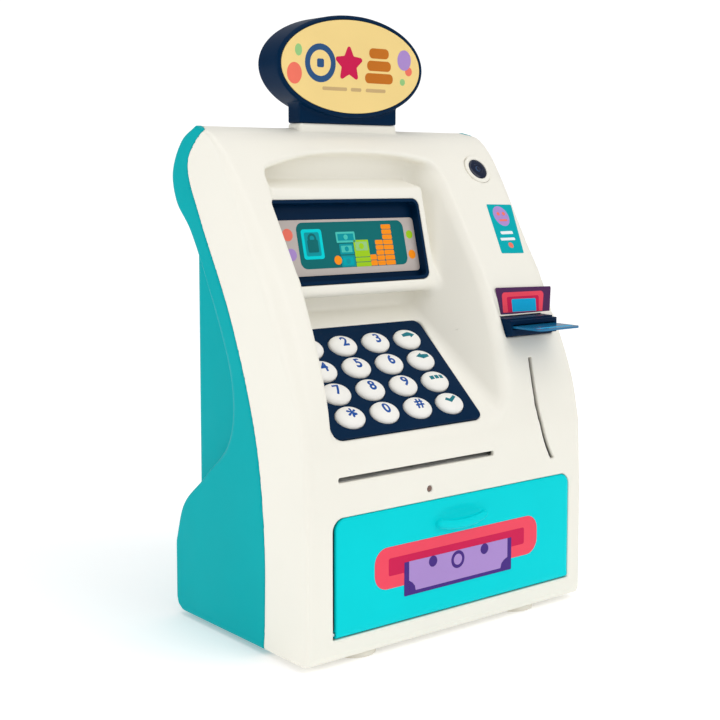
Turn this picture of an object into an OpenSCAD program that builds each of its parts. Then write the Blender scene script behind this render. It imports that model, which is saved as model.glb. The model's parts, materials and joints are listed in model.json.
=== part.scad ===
// Toy cash-machine savings bank: two moulded housings, hinged cash door, keypad, card reader,
// motor-fed note slot, coin slit and battery compartment.
// +X is the viewer's right, +Y is to the back, +Z is up. Millimetres.

/* [Body] */
// overall body width
body_w = 180; // [160:1:200]
// moulding wall thickness
wall = 2.6; // [2:0.2:3.4]
// height of the housing's underside above the table
base_z = 2.5; // [2:0.5:4]

/* [Door] */
// left edge of the cash door
door_x0 = -73.6; // [-74:0.1:-60]
// right edge of the cash door
door_x1 = 80.5; // [60:0.5:82]
// bottom edge of the cash door
door_z0 = 13.3; // [12:0.1:16]
// top edge of the cash door
door_z1 = 69; // [60:0.5:72]

/* [Keypad] */
// slope of the keypad from the horizontal
key_tilt = 41.7; // [35:0.1:50]
// key spacing across
key_px = 20.7; // [19:0.1:22]
// key spacing up the slope
key_py = 14.3; // [13.8:0.1:16]
// shift of the keys from the middle of the plate, across and up the slope
key_shift = [-0.5, -1]; // [-2:0.1:2]

/* [Screen] */
// lean of the screen from the vertical
screen_lean = 14; // [8:1:20]

/* [Show] */
// node to draw

/* [Hidden] */
$fn = 64;
gap = 0.3;
// left edge of the opening the door hangs in, a little clear of the door
way_x0 = -75.3;
y_mid = 52.2;
half = body_w / 2;
x_pad = -26;
box_half = 77;

white = [0.93, 0.92, 0.87];
teal = [0.02, 0.66, 0.68];
cyan = [0.02, 0.80, 0.82];
navy = [0.01, 0.16, 0.28];
steel = [0.72, 0.73, 0.75];
green = [0.10, 0.38, 0.22];

// ---------- helpers ----------
function unit(v) = v / norm(v);
function out_dir(a, b) = let (d = unit(b - a)) [-d[1], d[0]];
// middle of the key c across from the left and r down from the top
function key_at(c, r) = key_shift + [(c - 1.5) * key_px, (1.5 - r) * key_py];
// moves each side of a closed outline inwards by t (outline runs up the front and down the back)
function inset(p, t) = let (n = len(p)) [for (i = [0:n - 1])
  let (a = out_dir(p[(i + n - 1) % n], p[i]), b = out_dir(p[i], p[(i + 1) % n]))
  p[i] - t * (a + b) / (1 + a * b)];
function oval(a, b, n = 60) = [for (i = [0:n - 1]) [a * cos(360 * i / n), b * sin(360 * i / n)]];
function knot(a, b) = sqrt(norm(b - a));
function mix(a, b, ka, kb, u) = (a * (kb - u) + b * (u - ka)) / (kb - ka);
// point at fraction t between b and c on the smooth curve through a, b, c and d
function curve_pt(a, b, c, d, t) = let (
    k1 = knot(a, b), k2 = k1 + knot(b, c), k3 = k2 + knot(c, d), u = k1 + t * (k2 - k1),
    ab = mix(a, b, 0, k1, u), bc = mix(b, c, k1, k2, u), cd = mix(c, d, k2, k3, u))
  mix(mix(ab, bc, 0, k2, u), mix(bc, cd, k1, k3, u), k1, k2, u);
// smooth curve through the given points, with steps points in each stretch
function smooth(p, steps = 5) = let (n = len(p),
    e = concat([2 * p[0] - p[1]], p, [2 * p[n - 1] - p[n - 2]]))
  concat([for (i = [0:n - 2], j = [0:steps - 1])
    curve_pt(e[i], e[i + 1], e[i + 2], e[i + 3], j / steps)], [p[n - 1]]);

// ---------- side outlines, as [y, z] ----------
// the flat leaning stretch of the front runs from lean_a to lean_b
lean_a = [28.2, 175];
lean_b = [57, 221];
lean_ang = atan((lean_b[0] - lean_a[0]) / (lean_b[1] - lean_a[1]));
top_pt = [91, 248.5];
front_pts = concat([[4, base_z], [1.2, 3.4], [0, 6]], smooth([[0, 97], [4.2, 119.5], [14.8, 147.5], lean_a]),
  smooth([lean_b, [68.5, 236.5], [79, 245], top_pt]));
// over the top, in to the waist and out again to the bulging base
rear_pts = smooth([top_pt, [104, 241.5], [112.8, 226], [109.5, 211.5], [96.5, 197], [76, 160.5],
  [62.5, 122], [65.5, 97], [86, 76], [106, 58.5], [113.7, 38]]);
side_pts = concat(front_pts, [for (i = [1:len(rear_pts) - 1]) rear_pts[i]],
  [[113.7, 9], [112.3, 5], [108, base_z]]);
seam_pts = concat([[35, -10], [35, 4]], smooth([[33.9, 16], [34, 55], [40.4, 101], [60.5, 155.5],
  [87.5, 204], [98, 227], [95.5, 240], [92, 247.8]]), [[92, 262]]);
// radius of the arched roof of the recess
roof_r = 195;
// the deeper middle of the back, between the side wings
back_pts = [[40, 58], [106, 58], [111, 50], [111, 210], [112.5, 219], [100, 219], [40, 203]];
back_void = [[40, 60], [105, 60], [108.4, 52], [108.4, 210], [109.6, 216], [100, 216], [40, 203]];
// the recess that holds the screen and keypad
recess_pts = [[-20, 85.6], [60.5, 157.3], [60.5, 167.7], [45.4, 163.9], [58.9, 218.2], [76, 222.5],
  [76, 236], [-20, 236]];

// extrudes a [y, z] outline along X
module along_x(x0, x1) translate([x0, 0, 0]) rotate([90, 0, 90]) linear_extrude(x1 - x0) children();
// extrudes an [x, z] outline along Y
module along_y(y0, y1) translate([0, y1, 0]) rotate([90, 0, 0]) linear_extrude(y1 - y0) children();
// puts the row origin under the middle of the whole object
module place() translate([0, -y_mid, 0]) children();
module box(a, b) translate(a) cube(b - a);
module rod_x(x0, x1, y, z, r) translate([x0, y, z]) rotate([0, 90, 0]) cylinder(h = x1 - x0, r = r);
module rod_y(y0, y1, x, z, r) translate([x, y0, z]) rotate([-90, 0, 0]) cylinder(h = y1 - y0, r = r);

module round_rect(x0, z0, x1, z1, r) {
  translate([x0 + r, z0]) square([x1 - x0 - 2 * r, z1 - z0]);
  translate([x0, z0 + r]) square([x1 - x0, z1 - z0 - 2 * r]);
  for (x = [x0 + r, x1 - r], z = [z0 + r, z1 - r]) translate([x, z]) circle(r);
}

// keypad frame: x across, y up the slope, z out of the surface, origin at the middle of the keys
module at_keypad() translate([x_pad, 26.9, 127.37]) rotate([key_tilt, 0, 0]) children();
// round camera window on the right column, as [x, z]
camera = [72, 228];

// screen frame: x across, y up the screen, z out of it, origin at the middle of the surround
module at_screen() translate([-23.6, 52.4, 192]) rotate([90 - screen_lean, 0, 0]) children();
// leaning front face of the right column, origin at the given height
module at_slope(x, z) translate([x, lean_a[0] + (z - lean_a[1]) * tan(lean_ang), z])
  rotate([90 - lean_ang, 0, 0]) children();

module keep_front() along_x(-100, 100) polygon(concat([[-40, -10]], seam_pts, [[-40, 262]]));
module keep_back() translate([0, 0.15, 0])
  along_x(-100, 100) polygon(concat([[160, -10]], seam_pts, [[160, 262]]));

module front_shape() along_y(-10, 130) round_rect(-half, base_z, half, 248.5, 9);
module outline_solid() intersection() {
  along_x(-half, half) polygon(side_pts);
  front_shape();
}
module outline_void() intersection() {
  along_x(-half + wall, half - wall) polygon(inset(side_pts, wall));
  along_y(-10, 130) round_rect(-half + wall, base_z + wall, half - wall, 248.5 - wall, 6.4);
}

// space inside the recess, with its slanted right wall; grow adds the lining thickness
module recess_space(grow) intersection() {
  along_x(-75 - grow, 47 + grow) polygon(inset(recess_pts, grow));
  at_slope(0, 175) translate([0, 90, 0]) rotate([90, 0, 0]) linear_extrude(210)
    polygon([[-76 - grow, 40], [-76 - grow, -60], [2 + grow, -60], [44 + grow, 2], [44 + grow, 40]]);
  along_y(-30, 120) intersection() {
    translate([-8, 236 - roof_r]) circle(roof_r + grow);
    round_rect(-75 - grow, 40, 47 + grow, 240 + grow, 6);
  }
}

// ---------- housings ----------
module slit_shape() {
  translate([128.4, 116]) difference() {
    circle(72);
    circle(69.8);
  }
}
module coin_slit() intersection() {
  along_y(-5, 22) slit_shape();
  box([50, -5, 78.5], [72, 22, 131]);
}
module screw_boss(x, y0, y1, z) rod_y(y0, y1, x, z, 4);
// socket in the top of the housing that takes the sign's plug
module sign_socket() box([-26, 85.5, 240], [26, 91.5, 252]);

module front_housing() color(white) place() difference() {
  union() {
    intersection() {
      union() {
        difference() {
          outline_solid();
          outline_void();
        }
        intersection() {
          recess_space(2.4);
          outline_solid();
        }
        intersection() {
          outline_solid();
          union() {
            box([44.5, 12, 139], [half - 1, 33, 170]);
            for (x = [way_x0 - 4.3, door_x1 + gap]) box([x, 1, 10], [x + 4.3, 6, 20]);
            for (s = [-1, 1]) screw_boss(s * 82, 1, 36.2, 77);
            for (s = [-1, 1]) screw_boss(s * 82, 48, 88, 205);
          }
        }
      }
      keep_front();
    }
    box([-32, 83, 244.5], [32, 94, 251]);
    box([-35, 89, 245.4], [35, 97, 248.2]);
  }
  sign_socket();
  recess_space(0);
  // screen and keypad openings
  at_screen() translate([0, 0, -12]) linear_extrude(40) round_rect(-48.6, -21.2, 48.6, 21.2, 4);
  at_keypad() translate([0, 0, -9]) linear_extrude(12) round_rect(-46.1, -33.3, 46.1, 33.3, 4);
  // cash door opening and hinge bores
  along_y(-5, 8) union() {
    round_rect(way_x0, door_z0 + 6, door_x1 + gap, door_z1 + gap, 6);
    translate([way_x0, door_z0 - gap]) square([door_x1 + gap - way_x0, 20]);
  }
  rod_x(-78.4, 84.2, 2, 15.3, 1.05);
  // note slot, status light, coin slit
  box([-72, -5, 85.5], [25.7, 8, 87.9]);
  rod_y(-5, 8, -16.8, 75, 1.55);
  coin_slit();
  // card step and reader pocket
  along_x(46.2, 95) polygon([[-5, 151.5], [20.8, 151.5], [23.2, 168], [-5, 168]]);
  box([46.2, 8, 142], [80.2, 40, 151.6]);
  // camera seat
  at_slope(camera[0], camera[1]) translate([0, 0, -2.2]) cylinder(h = 12, r = 8.6);
  // pilot holes
  for (s = [-1, 1]) rod_y(20, 40, s * 82, 77, 1.3);
  for (s = [-1, 1]) rod_y(70, 95, s * 82, 205, 1.3);
}

module rear_housing() color(teal) place() difference() {
  union() {
    difference() {
      intersection() {
        union() {
          outline_solid();
          intersection() {
            along_x(-box_half, box_half) polygon(back_pts);
            front_shape();
          }
        }
        keep_back();
      }
      outline_void();
      along_x(-box_half + wall, box_half - wall) polygon(back_void);
    }
    intersection() {
      union() {
        for (s = [-1, 1]) rod_y(37, 100, s * 82, 77, 4.6);
        for (s = [-1, 1]) rod_y(88.4, 112, s * 82, 205, 4.6);
      }
      outline_solid();
    }
    for (x = [-54, 54], z = [104, 166]) rod_y(87.7, 109, x, z, 2.6);
    difference() {
      rod_y(104.4, 109, 0, 95, 22);
      rod_y(104, 109, 0, 95, 20.4);
    }
  }
  // notch for the tab that carries the sign
  box([-35.4, 79, 240], [35.4, 97.4, 252]);
  // screw holes with deep counterbores
  for (s = [-1, 1]) rod_y(30, 120, s * 82, 77, 1.7);
  for (s = [-1, 1]) rod_y(58, 125, s * 82, 77, 3.2);
  for (s = [-1, 1]) rod_y(80, 125, s * 82, 205, 1.7);
  for (s = [-1, 1]) rod_y(94, 125, s * 82, 205, 3.2);
  // battery opening with a ledge for its cover
  box([-25.5, 100, 129.5], [25.5, 118, 182.6]);
  box([-28.5, 109.6, 126.5], [28.5, 118, 188.5]);
  rod_y(104, 112, 0, 185.2, 1.7);
  // speaker grille, switch slot
  for (i = [-3:3]) box([-14, 100, 94 + i * 4.4], [14, 118, 96 + i * 4.4]);
  box([46, 100, 92.4], [58, 118, 97.6]);
}

// ---------- cash door ----------
module door() color(cyan) place() difference() {
  union() {
    along_y(0, 2.4) union() {
      round_rect(door_x0, door_z0 + 5, door_x1, door_z1, 5.7);
      translate([door_x0, door_z0 + 2]) square([door_x1 - door_x0, 20]);
    }
    rod_x(door_x0, door_x1, 2, door_z0 + 2, 2);
    // stiffening rim and finger lip
    for (x = [door_x0 + 2, door_x1 - 3.4]) box([x, 2, 17.4], [x + 1.4, 4.6, 61]);
    box([door_x0 + 8, 2, 64.6], [door_x1 - 8, 4.6, 66]);
    translate([3.5, 0, 57.3]) along_y(-3, 0.5) polygon(oval(17, 4.4));
  }
  rod_x(door_x0 - 1, door_x0 + 6, 2, door_z0 + 2, 1);
  rod_x(door_x1 - 6, door_x1 + 1, 2, door_z0 + 2, 1);
}
// plate behind the door that the bolt drops through
module latch_keeper() color(steel) place() difference() {
  union() {
    box([38.5, 2.4, 60.2], [48.5, 15, 62.2]);
    box([36.5, 2.4, 54], [50.5, 3.8, 62.2]);
  }
  translate([43.5, 10, 50]) cylinder(h = 30, r = 2.7);
}
module hinge_pins() color(steel) place() {
  rod_x(-77.8, door_x0 + 5.8, 2, door_z0 + 2, 1);
  rod_x(door_x1 - 5.8, 83.6, 2, door_z0 + 2, 1);
}
module door_label() color([0.95, 0.25, 0.38]) place() along_y(-0.25, 0)
  union() {
    round_rect(-51, 27, 56, 51.6, 6);
    translate([-34, 22.6]) square([74, 10]);
  }
module latch_solenoid() color(steel) place() difference() {
  union() {
    box([38.8, 4.4, 77], [48.2, 15.6, 97]);
    box([38.8, 2.6, 79], [48.2, 4.4, 81]);
    box([38.8, 2.6, 93], [48.2, 4.4, 95]);
  }
  translate([43.5, 10, 70]) cylinder(h = 30, r = 2.05);
}
module latch_bolt() color([0.5, 0.5, 0.52]) place() {
  translate([43.5, 10, 64.2]) cylinder(h = 38.6, r = 2);
  translate([43.5, 10, 102.6]) cylinder(h = 1.2, r = 3.4);
}

// ---------- sign ----------
module sign_body() color(navy) place() difference() {
  union() {
    along_y(80, 98) translate([0, 280.5]) polygon(oval(48, 26.3, 90));
    box([-32, 83, 251.1], [32, 94, 270]);
    box([-25.8, 85.7, 246], [25.8, 91.3, 252]);
  }
  along_y(82.4, 99) translate([0, 280.5]) polygon(oval(45.8, 24.1, 90));
  box([-29, 85.4, 253.5], [29, 91.6, 268]);
  along_y(79, 81) translate([0, 280.5]) polygon(oval(45.8, 24.1, 90));
}
module sign_back() color(navy) place() {
  along_y(96.2, 98) translate([0, 280.5]) polygon(oval(45.7, 24, 90));
  for (x = [-30, 30]) rod_y(82.5, 96.2, x, 280.5, 3);
}
module sign_panel() color([0.97, 0.84, 0.5]) place()
  along_y(80.2, 80.9) translate([0, 280.5]) polygon(oval(45.6, 23.9, 90));

// ---------- screen ----------
module screen_bezel() color(navy) place() at_screen() difference() {
  translate([0, 0, -6.4]) linear_extrude(6.4) round_rect(-48.5, -21.1, 48.5, 21.1, 3.9);
  translate([0, 0, -5]) linear_extrude(6) round_rect(-46.9, -19.5, 46.9, 19.5, 2.6);
}
module screen_card() color([0.74, 0.71, 0.69]) place() at_screen()
  translate([0, 0, -4.98]) linear_extrude(0.5) round_rect(-46.6, -16, 46.6, 12, 2);

// ---------- keypad ----------
module keypad_plate() color(navy) place() at_keypad() difference() {
  union() {
    translate([0, 0, -2.2]) linear_extrude(2.2) round_rect(-46, -33.2, 46, 33.2, 3.9);
    for (x = [-44.4, 42.8]) box([x, -30, -8.2], [x + 1.6, 30, -2]);
  }
  for (c = [0:3], r = [0:3]) translate([0, 0, -5]) translate(key_at(c, r))
    linear_extrude(10) polygon(oval(8.45, 6.6));
}
// one oval key, c across from the left, r down from the top
module oval_key(c, r) color(white) place() at_keypad()
  translate(key_at(c, r)) {
    translate([0, 0, -3.5]) linear_extrude(1) polygon(oval(9.3, 6.9));
    translate([0, 0, -3]) linear_extrude(4.4) polygon(oval(8.1, 6.25));
    translate([0, 0, 1.3]) linear_extrude(0.9) polygon(oval(7.7, 5.85));
    translate([0, 0, 2.1]) linear_extrude(0.7) polygon(oval(6.9, 5.1));
    translate([0, 0, 2.7]) linear_extrude(0.5) polygon(oval(5.2, 3.8));
    translate([0, 0, -4]) cylinder(h = 1, r = 2.8);
  }
module key_1() oval_key(0, 0);
module key_2() oval_key(1, 0);
module key_3() oval_key(2, 0);
module key_fn_a() oval_key(3, 0);
module key_4() oval_key(0, 1);
module key_5() oval_key(1, 1);
module key_6() oval_key(2, 1);
module key_fn_b() oval_key(3, 1);
module key_7() oval_key(0, 2);
module key_8() oval_key(1, 2);
module key_9() oval_key(2, 2);
module key_fn_c() oval_key(3, 2);
module key_star() oval_key(0, 3);
module key_0() oval_key(1, 3);
module key_hash() oval_key(2, 3);
module key_fn_d() oval_key(3, 3);
module keypad_membrane() color([0.75, 0.75, 0.78]) place() at_keypad() {
  translate([0, 0, -8.2]) linear_extrude(1) square([85, 60], center = true);
  for (c = [0:3], r = [0:3]) translate([0, 0, -7.4]) translate(key_at(c, r))
    cylinder(h = 1.5, r = 4);
}
module keypad_board() color(green) place() at_keypad() {
  translate([0, 0, -9.6]) linear_extrude(1.4) square([91, 62], center = true);
  box([-12, -28, -12.6], [12, -20, -9.6]);
}

// ---------- right column ----------
module camera_ring() color(white) place() at_slope(camera[0], camera[1]) difference() {
  translate([0, 0, -2.2]) cylinder(h = 2.6, r = 8.5);
  translate([0, 0, -0.9]) cylinder(h = 3, r = 6.1);
}
module camera_lens() color(navy) place() at_slope(camera[0], camera[1])
  translate([0, 0, -0.9]) cylinder(h = 1.1, r = 6);
module face_label() color(teal) place() at_slope(75.3, 196) linear_extrude(0.2)
  polygon([[-12.1, -14.8], [4.2, -15.3], [10.1, 14.8], [-8.3, 15.3]]);
module card_label() color([0.3, 0.06, 0.32]) place() translate([66.3, 21.9, 159.6])
  rotate([90 - 8.3, 0, 0]) linear_extrude(0.25)
  polygon([[-16.1, -7], [20.3, -7.9], [23.2, 5.9], [-18.3, 7.1]]);
module card_reader() color(navy) place() difference() {
  union() {
    box([46.3, 12.4, 142.1], [80.1, 38, 151.4]);
    box([46.3, 9.4, 143], [80.1, 12.6, 150.6]);
  }
  box([47.8, 5, 146.1], [78.6, 36.4, 148.3]);
}
module bank_card() color([0.25, 0.62, 0.86]) place()
  box([48.2, -9.3, 146.7], [78.2, 36, 147.7]);
module status_led() color([0.85, 0.2, 0.15]) place() {
  rod_y(0.6, 6, -16.8, 75, 1.5);
  rod_y(2.7, 3.8, -16.8, 75, 1.9);
}

// ---------- note feed ----------
gear_m = 0.8;
// tooth flank points on an involute of base circle rb
function inv_pt(rb, t) = rb * [cos(t) + t * PI / 180 * sin(t), sin(t) - t * PI / 180 * cos(t)];
function turn(p, a) = [p[0] * cos(a) - p[1] * sin(a), p[0] * sin(a) + p[1] * cos(a)];
function flip(p) = [p[0], -p[1]];
function inv_t(rb, r) = r <= rb ? 0 : sqrt(r * r / (rb * rb) - 1) * 180 / PI;
module gear2d(z, play) {
  rp = gear_m * z / 2;
  rb = rp * cos(20);
  tip = rp + gear_m * 0.9;
  root = rp - gear_m * 1.2;
  tp = inv_t(rb, rp);
  p_ang = tp - atan(tp * PI / 180);
  half_tooth = 90 / z - play / rp * 90 / PI;
  ts = [for (k = [0:3]) inv_t(rb, max(root, rb) + (tip - max(root, rb)) * k / 3)];
  polygon([for (i = [0:z - 1], p = concat(
    [turn([root, 0], -half_tooth - p_ang - 40 / z)],
    [for (t = ts) turn(inv_pt(rb, t), -half_tooth - p_ang)],
    [for (k = [3:-1:0]) turn(flip(inv_pt(rb, ts[k])), half_tooth + p_ang)],
    [turn([root, 0], half_tooth + p_ang + 40 / z)])) turn(p, i * 360 / z)]);
}
fy = 24;
fz = 92.75;
iz = 80.65;
my = fy + 16 * cos(45);
mz = fz + 16 * sin(45);
module note_frame() color([0.85, 0.85, 0.86]) place() difference() {
  union() {
    along_x(-76.4, -73.8) polygon([[14, 74.4], [38, 74.4], [38, 100], [14, 100]]);
    along_x(28.6, 31.4) polygon([[14, 74.4], [38, 74.4], [46, 96], [46, 113], [28, 113], [14, 100]]);
    box([-74, 3, 84.1], [29, 17, 85.3]);
    box([-74, 3, 88.1], [29, 16.6, 89.3]);
    box([-74, 31, 84.1], [29, 37, 85.3]);
  }
  rod_x(-80, 34, fy, fz, 1.56);
  rod_x(-80, 34, fy, iz, 1.56);
  rod_x(20, 34, my, mz, 3.2);
}
module feed_shaft() color(steel) place() rod_x(-77.4, 36.6, fy, fz, 1.5);
module feed_rollers() color([0.2, 0.2, 0.22]) place() {
  for (x = [-58, -8]) difference() {
    rod_x(x, x + 16, fy, fz, 5.8);
    rod_x(x - 1, x + 17, fy, fz, 1.5);
  }
}
module feed_gear() color(white) place() translate([32, fy, fz]) rotate([90, 0, 90])
  linear_extrude(3.6) difference() {
    gear2d(30, 0.16);
    circle(1.5);
    for (i = [0:5]) rotate(i * 60) translate([6.4, 0]) circle(2);
  }
module idler_roller() color([0.8, 0.8, 0.82]) place() {
  rod_x(-77.4, 31.2, fy, iz, 1.5);
  for (x = [-58, -8]) rod_x(x, x + 16, fy, iz, 5.8);
}
module feed_motor() color(steel) place() {
  rod_x(4, 28.4, my, mz, 8);
  rod_x(28.3, 29.8, my, mz, 3.1);
}
module motor_pinion() color([0.8, 0.6, 0.2]) place() {
  translate([32, my, mz]) rotate([90, 0, 90]) linear_extrude(3.6)
    rotate(18) gear2d(10, 0.16);
  rod_x(30.2, 32.1, my, mz, 1);
}

// ---------- coins ----------
module chute_side(g) along_x(50 + g, 72 - g)
  polygon([[3 + (g > 0 ? -9 : 0), 70 - g * 5], [3 + (g > 0 ? -9 : 0), 100], [13 + (g > 0 ? -9 : 0), 136 - g],
    [38 - g, 136 - g], [38 - g, 70 - g * 5]]);
module coin_chute() color([0.85, 0.85, 0.86]) place() difference() {
  chute_side(0);
  chute_side(1.4);
  box([70, 16, 78], [74, 26, 92]);
}
module coin_lever() color([0.9, 0.5, 0.15]) place() {
  rod_y(15, 27, 76, 86, 1.5);
  box([53, 18, 84.8], [76, 24, 86]);
  box([76, 19, 85], [82, 23, 86.4]);
}

// ---------- electronics and battery ----------
module main_board() color(green) place() {
  box([-60, 86, 100], [60, 87.6, 172]);
  box([-20, 84, 120], [-4, 86, 136]);
  box([8, 83, 112], [18, 86, 118]);
  box([-50, 80, 150], [-40, 86, 158]);
  rod_y(78, 86, 40, 150, 4);
  rod_y(80, 86, 28, 160, 3);
}
module speaker() color([0.25, 0.25, 0.27]) place() {
  rod_y(105.2, 108.2, 0, 95, 20);
  rod_y(99, 105.3, 0, 95, 13);
}
module battery_box() color([0.15, 0.15, 0.17]) place() difference() {
  box([-25.2, 89.6, 130], [25.2, 108, 185]);
  box([-23.6, 91.4, 131.6], [23.6, 112, 183.4]);
}
module batteries() color([0.85, 0.65, 0.2]) place() for (i = [-1:1]) {
  translate([i * 15.4, 99.2, 133]) cylinder(h = 47.4, r = 7);
  translate([i * 15.4, 99.2, 180.3]) cylinder(h = 1.3, r = 2.6);
}
module battery_contacts() color(steel) place() for (i = [-1:1]) {
  box([i * 15.4 - 5, 95, 131.6], [i * 15.4 + 5, 103.4, 132.8]);
  box([i * 15.4 - 5, 95, 181.8], [i * 15.4 + 5, 103.4, 182.6]);
}
module battery_cover() color(teal) place() difference() {
  union() {
    box([-28.1, 109.75, 126.9], [28.1, 111.4, 188.1]);
    for (x = [-14, 10]) box([x, 108.7, 129.8], [x + 4, 109.9, 132]);
  }
  rod_y(100, 115, 0, 185.2, 1.7);
  rod_y(110.4, 115, 0, 185.2, 2.75);
}
module battery_screw() color(steel) place() {
  rod_y(110.45, 111.3, 0, 185.2, 2.4);
  rod_y(108.6, 110.6, 0, 185.2, 1.4);
}
module power_switch() color(steel) place() difference() {
  box([45, 102.4, 90.6], [59, 108.3, 99.4]);
  box([46.4, 104.6, 93], [57.6, 109, 97]);
}
module switch_knob() color([0.1, 0.1, 0.1]) place() {
  box([46.9, 104.9, 93.3], [51.6, 107.9, 96.7]);
  box([47.4, 107.8, 93.5], [51.1, 112.2, 96.5]);
}
module one_screw(x, y, z, l) {
  rod_y(y, y + 2, x, z, 2.8);
  rod_y(y - l, y + 0.5, x, z, 1.4);
}
module housing_screws() color(steel) place() for (s = [-1, 1]) {
  one_screw(s * 82, 58, 77, 34);
  one_screw(s * 82, 94, 205, 18);
}
module feet() color([0.9, 0.9, 0.86]) place() for (x = [-53, 53], y = [14, 98])
  translate([x, y, 0]) cylinder(h = base_z, r = 11);
module cash_bin() color([0.8, 0.82, 0.83]) place() difference() {
  box([-73.6, 6.8, 5.6], [73.6, 99.4, 71.4]);
  box([-72, 8.4, 7.2], [72, 97.8, 80]);
  box([-72, 0, 19], [72, 20, 80]);
  box([36, 0, 50], [51, 18, 80]);
}

front_housing();
rear_housing();
door();
hinge_pins();
latch_keeper();
door_label();
latch_solenoid();
latch_bolt();
sign_body();
sign_back();
sign_panel();
screen_bezel();
screen_card();
keypad_plate();
key_1();
key_2();
key_3();
key_fn_a();
key_4();
key_5();
key_6();
key_fn_b();
key_7();
key_8();
key_9();
key_fn_c();
key_star();
key_0();
key_hash();
key_fn_d();
keypad_membrane();
keypad_board();
camera_ring();
camera_lens();
face_label();
card_label();
card_reader();
bank_card();
status_led();
note_frame();
feed_shaft();
feed_rollers();
feed_gear();
idler_roller();
feed_motor();
motor_pinion();
coin_chute();
coin_lever();
main_board();
speaker();
battery_box();
batteries();
battery_contacts();
battery_cover();
battery_screw();
power_switch();
switch_knob();
housing_screws();
feet();
cash_bin();
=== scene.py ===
"""Looks of the toy cash-machine savings bank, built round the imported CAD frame."""

import json
import math
from functools import reduce

import bmesh
import bpy
import numpy as np
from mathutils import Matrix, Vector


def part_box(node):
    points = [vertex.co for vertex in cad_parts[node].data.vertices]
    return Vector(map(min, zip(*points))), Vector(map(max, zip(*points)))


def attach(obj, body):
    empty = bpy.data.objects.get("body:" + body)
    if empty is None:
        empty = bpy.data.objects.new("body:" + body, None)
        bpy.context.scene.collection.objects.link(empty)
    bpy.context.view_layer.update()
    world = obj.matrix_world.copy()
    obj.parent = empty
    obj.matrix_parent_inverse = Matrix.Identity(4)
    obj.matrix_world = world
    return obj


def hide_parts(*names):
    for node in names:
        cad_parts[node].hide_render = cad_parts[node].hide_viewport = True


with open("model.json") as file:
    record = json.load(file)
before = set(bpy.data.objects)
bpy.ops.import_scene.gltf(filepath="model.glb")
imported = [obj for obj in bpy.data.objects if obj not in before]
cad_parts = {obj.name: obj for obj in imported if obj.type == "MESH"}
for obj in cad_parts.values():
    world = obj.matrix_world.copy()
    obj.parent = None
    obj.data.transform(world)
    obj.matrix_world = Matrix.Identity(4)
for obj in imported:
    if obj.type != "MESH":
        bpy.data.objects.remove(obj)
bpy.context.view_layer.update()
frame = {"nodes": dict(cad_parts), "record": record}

import openvdb as vdb
from mathutils import Vector

# ---------- frame and sizes ----------
# Shapes are written in millimetres with Y = 0 on the housing's front plane and Z = 0 on the table.
MM = 0.001
FRONT_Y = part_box("front_housing")[0].y
HALF_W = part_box("front_housing")[1].x / MM
BASE_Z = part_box("front_housing")[0].z / MM
WALL = 2.6
LINING = 2.4
RIM_ROUND = 4.0
SCREEN_LEAN = 14.0
KEYPAD_TILT = 41.7
CARD_TILT = 8.3
BOX_HALF = 77.0
DOOR_LEFT, DOOR_RIGHT = -73.6, 80.5
DOOR_MIDDLE = (DOOR_LEFT + DOOR_RIGHT) / 2
HINGE_Y, HINGE_Z = 2.0, 15.3
CAMERA_X, CAMERA_Z = 72, 228
# side of the middle, height and front end of each housing screw's post, and the depth of its sunk head
SCREWS = ((82, 77, 37, 58), (82, 205, 88.4, 94))
SEAM_GAP, SEAM_ROUND = 0.08, 0.7

# leaning flat stretch of the front, as (y, z) at its foot and its top
LEAN_A = np.array([28.2, 175.0])
LEAN_B = np.array([57.0, 221.0])
LEAN_UP = (LEAN_B - LEAN_A) / np.linalg.norm(LEAN_B - LEAN_A)
LEAN_OUT = np.array([-LEAN_UP[1], LEAN_UP[0]])
TOP = (91.0, 248.5)


def row(points):
    """Millimetre points to metres in the row frame."""
    return np.asarray(points, float) * MM + (0.0, FRONT_Y, 0.0)


# ---------- outlines ----------
def smooth(points, steps=8):
    """Points along the smooth (centripetal Catmull-Rom) curve through the given points."""
    p = np.array(points, float)
    p = np.vstack([2 * p[0] - p[1], p, 2 * p[-1] - p[-2]])
    out = []
    for a, b, c, d in zip(p, p[1:], p[2:], p[3:]):
        k1 = math.sqrt(np.linalg.norm(b - a))
        k2 = k1 + math.sqrt(np.linalg.norm(c - b))
        k3 = k2 + math.sqrt(np.linalg.norm(d - c))
        for step in range(steps):
            u = k1 + (k2 - k1) * step / steps
            ab = (a * (k1 - u) + b * u) / k1
            bc = (b * (k2 - u) + c * (u - k1)) / (k2 - k1)
            cd = (c * (k3 - u) + d * (u - k2)) / (k3 - k2)
            abc = (ab * (k2 - u) + bc * u) / k2
            bcd = (bc * (k3 - u) + cd * (u - k1)) / (k3 - k1)
            out.append((abc * (k2 - u) + bcd * (u - k1)) / (k2 - k1))
    out.append(p[-2])
    return out


def filleted(corners, steps=10):
    """A closed outline from (u, v, radius) corners, each rounded by its radius."""
    p = np.array([c[:2] for c in corners], float)
    out = []
    for i, (u, v, radius) in enumerate(corners):
        here = np.array([u, v], float)
        if radius == 0:
            out.append(here)
            continue
        a = (p[i - 1] - here) / np.linalg.norm(p[i - 1] - here)
        b = (p[(i + 1) % len(p)] - here) / np.linalg.norm(p[(i + 1) % len(p)] - here)
        half = math.acos(max(-1.0, min(1.0, float(a @ b)))) / 2
        centre = here + (a + b) / np.linalg.norm(a + b) * radius / math.sin(half)
        start = here + a * radius / math.tan(half) - centre
        end = here + b * radius / math.tan(half) - centre
        turn = math.pi - 2 * half
        for k in range(steps + 1):
            t = k / steps
            arc = (start * math.sin((1 - t) * turn) + end * math.sin(t * turn)) / math.sin(turn)
            out.append(centre + arc)
    return out


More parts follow.
